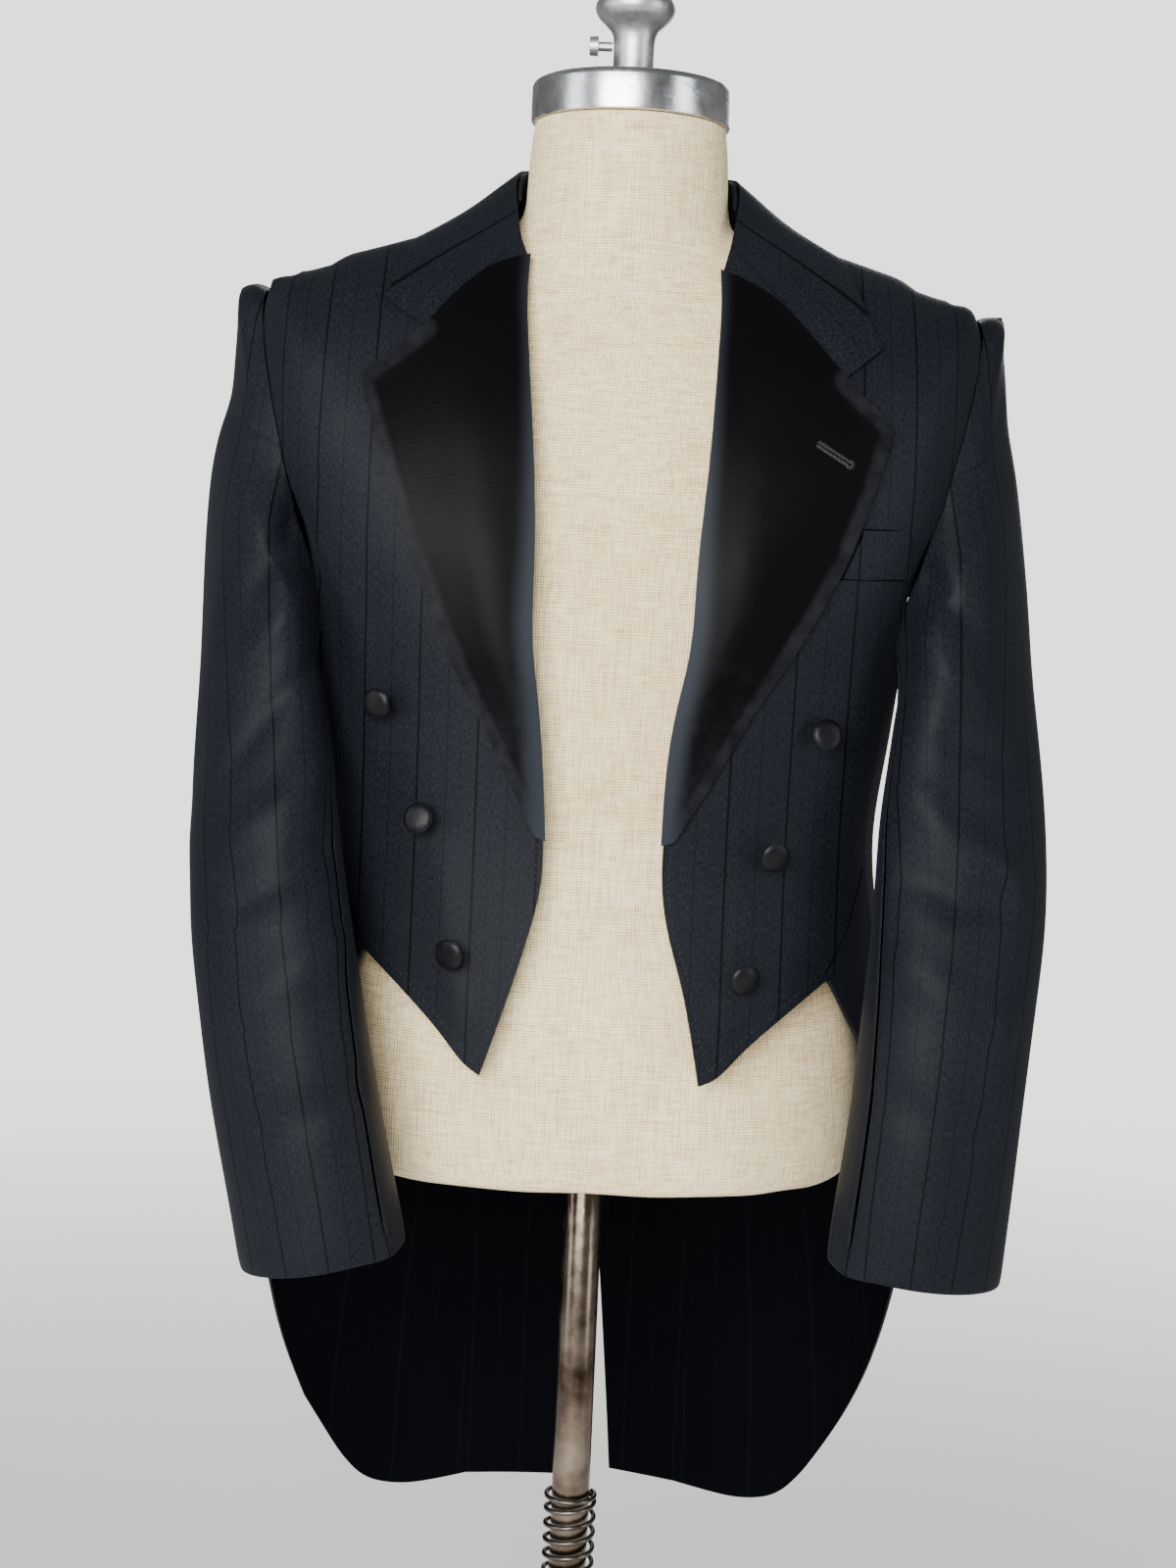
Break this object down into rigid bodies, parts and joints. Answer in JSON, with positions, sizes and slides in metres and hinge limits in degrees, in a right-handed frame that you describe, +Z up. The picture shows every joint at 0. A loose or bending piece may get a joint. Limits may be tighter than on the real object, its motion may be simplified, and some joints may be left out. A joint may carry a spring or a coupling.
{
  "type": "white tie tailcoat on a dress form stand",
  "caption": "Charcoal wool white tie tailcoat with satin peaked lapels and swallow tails, worn by a linen dress form without limbs on a pole stand.",
  "frame": {"origin": "centre of the foot's underside, on the floor", "axes": "+Z up, the coat faces -Y, +X towards the wearer's left"},
  "size_m": [0.5474, 0.4, 1.5744],
  "materials": {
    "suiting": "fine twill wool, slight lustre, tone-on-tone stripe",
    "satin": "black satin, soft gloss",
    "linen": "cream plain-weave linen stretched over the form, worn and stained",
    "neck_metal": "brushed and scratched",
    "pole_steel": "old bright steel with brown patina",
    "spring_steel": "dark drawn wire",
    "foot_iron": "black enamel over casting"
  },
  "bodies": {
    "root": {"front_right": "suiting", "front_left": "suiting", "side_right": "suiting", "side_left": "suiting", "back_right": "suiting", "back_left": "suiting", "tail_right": "suiting", "tail_left": "suiting", "top_sleeve_right": "suiting", "top_sleeve_left": "suiting", "under_sleeve_right": "suiting", "under_sleeve_left": "suiting", "collar": "suiting", "collar_stand": "suiting", "breast_welt": "suiting", "lapel_right": "satin", "lapel_left": "satin", "back_button_right": "satin", "back_button_left": "satin", "button_right_1": "satin", "button_right_2": "satin", "button_right_3": "satin", "button_left_1": "satin", "button_left_2": "satin", "button_left_3": "satin", "cuff_button_right_1": "satin", "cuff_button_right_2": "satin", "cuff_button_left_1": "satin", "cuff_button_left_2": "satin", "form_body": "linen", "neck_ring": "neck_metal", "neck_fitting": "neck_metal", "set_screw": "neck_metal", "pole": "pole_steel", "spring": "spring_steel", "foot": "foot_iron"}
  },
  "joints": []
}
